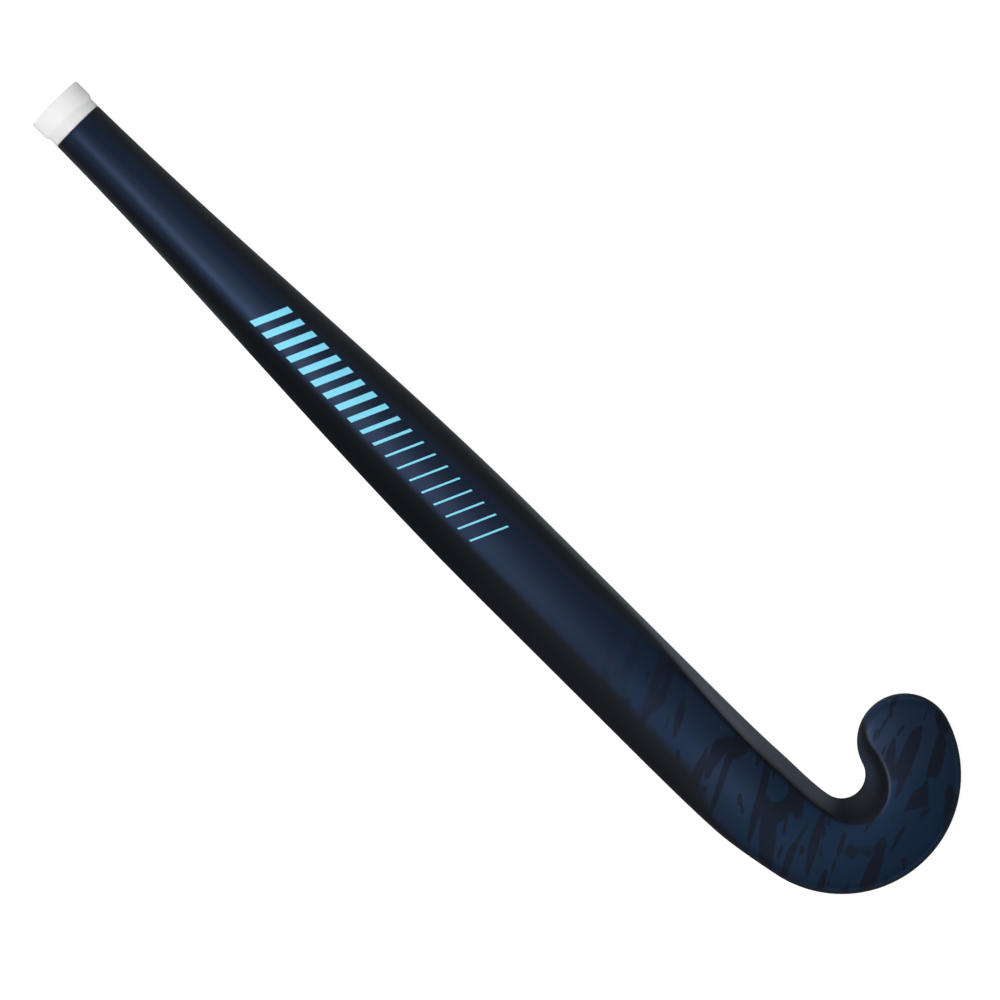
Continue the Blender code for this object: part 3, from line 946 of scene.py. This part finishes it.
# Where it changes on the profile, which is 1 at the ridge and 2 at the edge
PANEL_END, PANEL_END_OVER_EDGE = (0.985, 1.0), (1.80, 2.05)
PANEL_END_PAST_BEVEL = 1.25
# Painted shade beside the ridge: where it starts, wide and narrow, where it is full, and its
# strength
WIDE_SHADE, NARROW_SHADE, SHADE_FULL = 0.70, 0.82, 0.97
SHADE_STRENGTH = 0.8
# Painted shade in the crook next to the ridge, then painted light towards the edge
CROOK_SHADE_GROWS, CROOK_LIGHT_GROWS = (1.0, 1.3), (1.30, 1.85)
# Painted reflection on the bevel
BEVEL_REFLECTION_GROWS, BEVEL_REFLECTION_ENDS = (0.99, 1.32), (1.95, 2.0)
# Painted highlight beside the ridge, on the crook and the toe, and where it ends
HIGHLIGHT_ON_CROOK, HIGHLIGHT_ON_TOE, HIGHLIGHT_ENDS = (0.86, 0.94), (0.90, 0.96), (1.0, 1.06)

# Painted reflection of side light on the shaft's rim, from full to none, as distances from the
# outline
RIM = (0.0004, 0.0060)


def print_mask(place, along):
    """Brushed patches cut by dark strokes and dashes, crisper towards the head."""
    softness = mix(FAINT_PRINT, CRISP_PRINT, smooth(*PRINT_SHARPENS, along))

    def marks(drawn_out, scale, detail, distortion, level):
        long_place = turned(place, PRINT_TURN, (1.0, drawn_out, 0.0))
        pattern = noise(long_place, scale, detail, distortion)
        return smooth(level - softness, level + softness, pattern)

    return marks(*PATCHES) * (1 - marks(*STROKES)) * (1 - marks(*DASHES))


def panel_mask(along, across, profile, past_bevel, over_edge):
    """Navy panel: between its two sides, up to the ridge, and over the edge of the toe."""
    heel_side, toe_side = through(HEEL_SIDE, along), through(TOE_SIDE, along)
    heel_fade = through(HEEL_FADE, along)
    panel = smooth(heel_side - heel_fade, heel_side + heel_fade, across)
    panel = panel * (1 - smooth(toe_side - TOE_FADE, toe_side + TOE_FADE, across))
    ends_from = mix(PANEL_END[0], PANEL_END_OVER_EDGE[0], over_edge)
    ends_at = mix(PANEL_END[1], PANEL_END_PAST_BEVEL, past_bevel)
    ends_at = mix(ends_at, PANEL_END_OVER_EDGE[1], over_edge)
    return panel * (1 - smooth(ends_from, ends_at, profile))


def ridge_painted_shade_mask(along, across, profile):
    """Painted shade on the panel beside the ridge, from the shaft to the crook."""
    shade = smooth(*SHADE_GROWS, along) * (1 - smooth(*SHADE_ENDS, along))
    shade_from = mix(WIDE_SHADE, NARROW_SHADE, smooth(*SHADE_NARROWS, along))
    shade = shade * smooth(0.0, MIDDLE_FADE, across) * smooth(shade_from, SHADE_FULL, profile)
    return shade * SHADE_STRENGTH


def painted_reflection_mask(along, across, profile, crisp):
    """Painted reflection of side light on the inner side: a soft rim on the shaft that sharpens into
    the bevel.
    """
    half_width = mix(HANDLE_WIDTH, SHAFT_WIDTH, smooth(0.0, TAPER_LENGTH, along)) / 2
    rim = (1 - smooth(*RIM, half_width - across)) * through(RIM_REFLECTION_STRENGTH, along)
    on_bevel = smooth(*BEVEL_REFLECTION_GROWS, profile)
    painted_reflection = mix(rim, on_bevel, crisp) * (1 - smooth(*BEVEL_REFLECTION_ENDS, profile))
    return painted_reflection * (1 - smooth(*REFLECTION_ENDS, along)) * smooth(0.0, 2 * MIDDLE_FADE, across)


def ridge_highlight_mask(along, across, profile, past_crook, past_bevel):
    """Painted highlight beside the ridge, from the crook to the toe."""
    starts, full = (mix(*stops, past_crook) for stops in zip(HIGHLIGHT_ON_CROOK, HIGHLIGHT_ON_TOE))
    line = smooth(starts, full, profile)
    line = line * (1 - smooth(*HIGHLIGHT_ENDS, profile)) * smooth(0.0, MIDDLE_FADE, across)
    return line * smooth(*HIGHLIGHT_GROWS, along) * (1 - past_bevel)


def lacquer_on_laminate():
    """Satin lacquer: a navy pearl panel on the back, printed over the head, and black sides."""
    material, tree, shader = new_finish(
        "lacquer_on_laminate", Specular_IOR_Level=0.4, Specular_Tint=COOL_GLOSS)
    place = stored(tree, "unbent", "Vector")
    profile = stored(tree, "profile", "Fac")
    along, across, _ = split(place)

    on_toe_side = smooth(-MIDDLE_FADE, MIDDLE_FADE, across)
    round_toe = calculate("ARCTAN2", greater(along - STICK_END, 0.0), across)
    past_bevel = smooth(*BEVEL_RUNS_OUT, round_toe) * smooth(*TOE_GROWS, along)
    over_edge = past_bevel * (1 - smooth(*OVER_EDGE_ENDS, round_toe))
    # The crook's bevel: painted shade next to the ridge, and a rougher coat
    in_crook = smooth(*CROOK_SHADE_GROWS, profile) * smooth(BEVEL_FULL, CROOK, along)
    in_crook = in_crook * on_toe_side * (1 - past_bevel)
    past_crook = smooth(CROOK, STICK_END, along)

    blue = mix_colour(PRINT_BLUE, PRINT_TEAL, smooth(*TEAL_PATCH, noise(place, scale=14.0)))
    printed = mix_colour(PRINT_DARK, blue, print_mask(object_place(tree), along))
    coat = mix_colour(NAVY, printed, smooth(PRINT_START, PRINT_FULL, along))
    # Painted shade on the panel beside the ridge
    coat = mix_colour(coat, RIDGE_PAINTED_SHADE, ridge_painted_shade_mask(along, across, profile))

    neck_from = mix(NECK_ON_HEEL_SIDE, NECK_ON_TOE_SIDE, on_toe_side)
    side = mix_colour(BLACK, NECK_BLACK, smooth(neck_from, neck_from + NECK_FADE, along))
    # Painted shade in the crook next to the ridge, and painted light towards the edge and round the
    # toe
    side = mix_colour(side, BLACK, in_crook)
    crook_painted_light = mix_colour(CROOK_PAINTED_LIGHT, TOE_PAINTED_LIGHT, past_crook)
    side = mix_colour(side, crook_painted_light, in_crook * smooth(*CROOK_LIGHT_GROWS, profile))
    # Painted reflection of side light: a soft rim on the shaft that sharpens into the bevel
    crisp = smooth(*BEVEL_SHARPENS, along)
    painted_reflection = mix_colour(RIM_PAINTED_REFLECTION, BEVEL_PAINTED_REFLECTION, crisp)
    side = mix_colour(side, painted_reflection, painted_reflection_mask(along, across, profile, crisp))

    panel = panel_mask(along, across, profile, past_bevel, over_edge)
    # Painted highlight along the ridge from the crook to the toe
    line = ridge_highlight_mask(along, across, profile, past_crook, past_bevel)
    colour = mix_colour(mix_colour(side, coat, panel), RIDGE_PAINTED_HIGHLIGHT, line)

    peel = use_effect(tree, orange_peel, place)["Height"]
    scuffs = use_effect(tree, fine_scuffs, place, Amount=0.35)["Mask"]
    specks = use_effect(tree, dust, place, Amount=0.12)["Mask"]
    return end_finish(
        material, shader,
        Base_Color=mix_colour(colour, DUST_GREY, lesser(scuffs * 0.10 + specks, 1.0)),
        Metallic=panel * PEARL + (1 - panel) * (1 - on_toe_side) * BLACK_PEARL,
        Roughness=roughened(
            0.34, (noise(place, scale=60.0, detail=3.0), 0.06), (scuffs, 0.2), (specks, 0.3),
            (1 - panel, BLACK_DULL), (in_crook, CROOK_DULL)),
        Normal=relief(tree, peel, depth=0.00001),
    )


# Colours of the other finishes

CAP_WHITE, CAP_GRAIN, CAP_DUST = srgb(252, 251, 250), srgb(247, 246, 245), srgb(150, 150, 148)
INK_BLUE, INK_DEEP, INK_RUBBED = srgb(138, 230, 254), srgb(126, 222, 251), srgb(86, 160, 196)
RESIN, FIBRE = srgb(24, 24, 26), srgb(62, 63, 67)


def moulded_cap_plastic():
    """Semi-gloss white moulding that lets a little light through, greyed in its grain."""
    material, tree, shader = new_finish(
        "moulded_cap_plastic", Specular_IOR_Level=0.35,
        Subsurface_Weight=0.6, Subsurface_Scale=0.012, Subsurface_Radius=(1.0, 1.0, 1.0))
    place = object_place(tree)
    flow = noise(stretched(place, 0.3, 1.0, 1.0), scale=90.0)
    specks = use_effect(tree, dust, place, Amount=0.25)["Mask"]
    colour = mix_colour(mix_colour(CAP_WHITE, CAP_GRAIN, flow), CAP_DUST, specks)
    peel = use_effect(tree, orange_peel, place, Wave=420.0, Grain=2600.0)["Height"]
    return end_finish(
        material, shader,
        Base_Color=colour,
        Roughness=roughened(0.20, (flow, 0.08), (specks, 0.2)),
        Normal=relief(tree, peel, depth=0.00003),
    )


def bar_ink():
    """Matt light-blue ink, screened so that its film varies a little."""
    material, tree, shader = new_finish("bar_ink", Specular_IOR_Level=0.35)
    place = object_place(tree)
    film = noise(place, scale=500.0)
    scuffs = use_effect(tree, fine_scuffs, place, Amount=0.4)["Mask"]
    return end_finish(
        material, shader,
        Base_Color=mix_colour(mix_colour(INK_BLUE, INK_DEEP, film), INK_RUBBED, scuffs),
        Roughness=roughened(0.42, (film, 0.1)),
        Normal=relief(tree, film, depth=0.000004),
    )


def bare_laminate():
    """Fibre plies in dark resin, as the tubes come out of the mould."""
    material, tree, shader = new_finish("bare_laminate", Specular_IOR_Level=0.5)
    place = object_place(tree)
    plies = use_effect(tree, fibre_plies, place, Tow=1500.0)
    resin = noise(place, scale=40.0, detail=3.0)
    return end_finish(
        material, shader,
        Base_Color=mix_colour(RESIN, FIBRE, plies["Mask"] * resin),
        Roughness=roughened(0.35, (resin, 0.15)),
        Normal=relief(tree, plies["Height"], depth=0.00005),
    )


def foam(name, skin, pore, cell_count, depth):
    """Foam with a skin colour, darker pores and a number of cells to the metre."""
    material, tree, shader = new_finish(name, Specular_IOR_Level=0.2)
    place = object_place(tree)
    cell = use_effect(tree, foam_cells, place, Cells=cell_count)
    cloud = noise(place, scale=25.0, detail=3.0)
    return end_finish(
        material, shader,
        Base_Color=mix_colour(skin, pore, blend(cell["Mask"], cloud, share=0.7)),
        Roughness=roughened(0.85, (cloud, 0.1)),
        Normal=relief(tree, cell["Height"], depth),
    )


# Pieces

loft_tree = make_loft_tree()
shell = make_skin("moulded_shell", shell_walk(), lacquer_on_laminate())
cap = make_skin("butt_cap", cap_walk(), moulded_cap_plastic())
bars = make_bars("shaft_bars", shell, bar_ink())
for piece, slot in ((shell, "shell_lacquer"), (cap, "cap_plastic"), (bars, "shell_lacquer")):
    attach(piece, "root")
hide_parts("outer_shell")
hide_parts("end_cap")

laminate = bare_laminate()
light_foam = foam(
    "light_foam", srgb(226, 214, 176), srgb(176, 160, 120), cell_count=1100.0, depth=0.0002)
plug_foam = foam(
    "plug_foam", srgb(158, 153, 143), srgb(108, 104, 98), cell_count=700.0, depth=0.0003)
dense_core = foam(
    "dense_core", srgb(150, 122, 84), srgb(104, 82, 54), cell_count=1600.0, depth=0.0001)
inner_finishes = {
    "heel_side_tube": laminate,
    "toe_side_tube": laminate,
    "heel_side_foam": light_foam,
    "toe_side_foam": light_foam,
    "handle_plug": plug_foam,
    "head_core": dense_core,
}
for node, finish in inner_finishes.items():
    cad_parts[node].data.materials.clear()
    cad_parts[node].data.materials.append(finish)


# Stage

VIEW_TURN = math.radians(44.89)
VIEW_CENTRE = Vector((0.0163, -0.0317, 0.015))
VIEW_WIDTH = 0.805
LENS, SENSOR = 400.0, 36.0
STRIP_TURN = math.radians(22)
DAYLIGHT, WHITE = (0.94, 0.97, 1.0, 1.0), (1.0, 1.0, 1.0, 1.0)
FLOOR_GREY = (0.25, 0.25, 0.26, 1.0)
FLOOR_REACH, FLOOR_SEEN = 60.0, 0.92

# Strength of the world beside its glows and in them, and where they grow with a
# direction's share along the stick and end with its share upwards
GLOW_DIM, GLOW = 0.18, 0.7
GLOW_GROWS, GLOW_ENDS = (0.30, 0.60), (0.36, 0.60)


def stage_floor():
    """Pale floor that the camera sees as near white, and that lights the stick less."""
    mesh = bpy.data.meshes.new("floor")
    corners = ((-1, -1), (1, -1), (1, 1), (-1, 1))
    mesh.from_pydata([(FLOOR_REACH * x, FLOOR_REACH * y, 0) for x, y in corners], [], [(0, 1, 2, 3)])
    floor = new_item("floor", mesh)
    material, tree, shader = new_finish(
        "floor", Base_Color=FLOOR_GREY, Roughness=0.9, Specular_IOR_Level=0.0,
        Emission_Color=WHITE)
    seen = result(tree, "ShaderNodeLightPath", "Is Camera Ray")
    mesh.materials.append(end_finish(material, shader, Emission_Strength=seen * FLOOR_SEEN))


def stage_world():
    """Dim even light, with a pale backdrop where the camera looks past the floor.

    Glossy surfaces also mirror two glows, low behind the butt and low behind the head. From
    above they show on no more than the hook, and from the side they bring out the back.
    """
    world = bpy.data.worlds.new("studio")
    bpy.context.scene.world = world
    world.use_nodes = True
    tree = world.node_tree
    background = tree.nodes["Background"]
    rays = tree.nodes.new("ShaderNodeLightPath")
    seen, mirrored = (Field(rays.outputs[name]) for name in ("Is Camera Ray", "Is Glossy Ray"))
    x, _, z = split(result(tree, "ShaderNodeTexCoord", "Generated"))
    glow = smooth(*GLOW_GROWS, calculate("ABSOLUTE", x)) * (1 - smooth(*GLOW_ENDS, z))
    strength = mix(GLOW_DIM, GLOW, glow * mirrored)
    feed(background.inputs["Color"], mix_colour(DAYLIGHT, WHITE, seen))
    feed(background.inputs["Strength"], mix(strength, 1.0, seen))


def softbox(name, place, size, radiance, aim=None, turn=0.0, mirrored=True, spread=math.pi):
    """A rectangular light that the camera doesn't see, its first side along the stick.

    It faces the shaft's line unless it is given something else to aim at, and a turn
    swings its first side away from that line. A light that isn't mirrored stands for one
    behind crossed polarisers, which gives no gloss. Its spread is less than half a circle
    where a grid keeps the light off what lies beside its aim.
    """
    light = bpy.data.lights.new(name, "AREA")
    light.shape = "RECTANGLE"
    light.spread = spread
    light.size, light.size_y = size
    light.energy = radiance * math.pi * size[0] * size[1]
    item = new_item(name, light)
    behind = (Vector(place) - Vector(aim or (place[0], SHAFT_Y, 0.0))).normalized()
    side = behind.cross(Vector((math.cos(turn), math.sin(turn), 0.0))).normalized()
    item.matrix_world = Matrix((side.cross(behind), side, behind)).transposed().to_4x4()
    item.location = place
    item.visible_camera = False
    item.visible_glossy = mirrored


def stage_camera():
    camera = bpy.data.cameras.new("camera")
    camera.lens, camera.sensor_width = LENS, SENSOR
    camera.clip_end = 50.0
    item = new_item("camera", camera)
    item.location = VIEW_CENTRE + Vector((0, 0, VIEW_WIDTH * LENS / SENSOR))
    item.rotation_euler = (0.0, 0.0, VIEW_TURN)
    bpy.context.scene.camera = item


stage_floor()
stage_world()
softbox("butt_strip", (-0.53, -0.565, 1.60), (0.44, 0.40), radiance=5.8, turn=STRIP_TURN)
softbox("shaft_strip", (-0.07, -0.335, 1.60), (0.56, 0.34), radiance=3.7, turn=STRIP_TURN)
softbox("neck_strip", (0.33, -0.170, 1.60), (0.22, 0.30), radiance=1.5, turn=STRIP_TURN)
softbox("polarised_fill", (-0.2, -0.8, 1.9), (2.4, 2.0), radiance=1.9, mirrored=False)
softbox("toe_side_fill", (-0.2, 1.6, 0.9), (2.0, 0.8), radiance=0.8, mirrored=False)
softbox("toe_side_card", (-0.10, 0.24, 0.002), (0.80, 0.50), radiance=0.5, aim=(-0.10, 0.24, 1.0))
softbox("heel_side_card", (-0.38, -0.14, 0.002), (0.30, 0.08), radiance=0.6,
        aim=(-0.38, -0.14, 1.0))
softbox("butt_fill", (-1.6, -0.2, 0.22), (0.8, 0.3), radiance=6.0, aim=(-0.46, SHAFT_Y, 0.0),
        turn=QUARTER, mirrored=False)
softbox("cap_fill", (0.10, -0.15, 0.35), (0.20, 0.20), radiance=0.13,
        aim=(-0.455, SHAFT_Y, 0.02), mirrored=False, spread=math.radians(20))
stage_camera()
bpy.context.scene.view_settings.view_transform = "Standard"
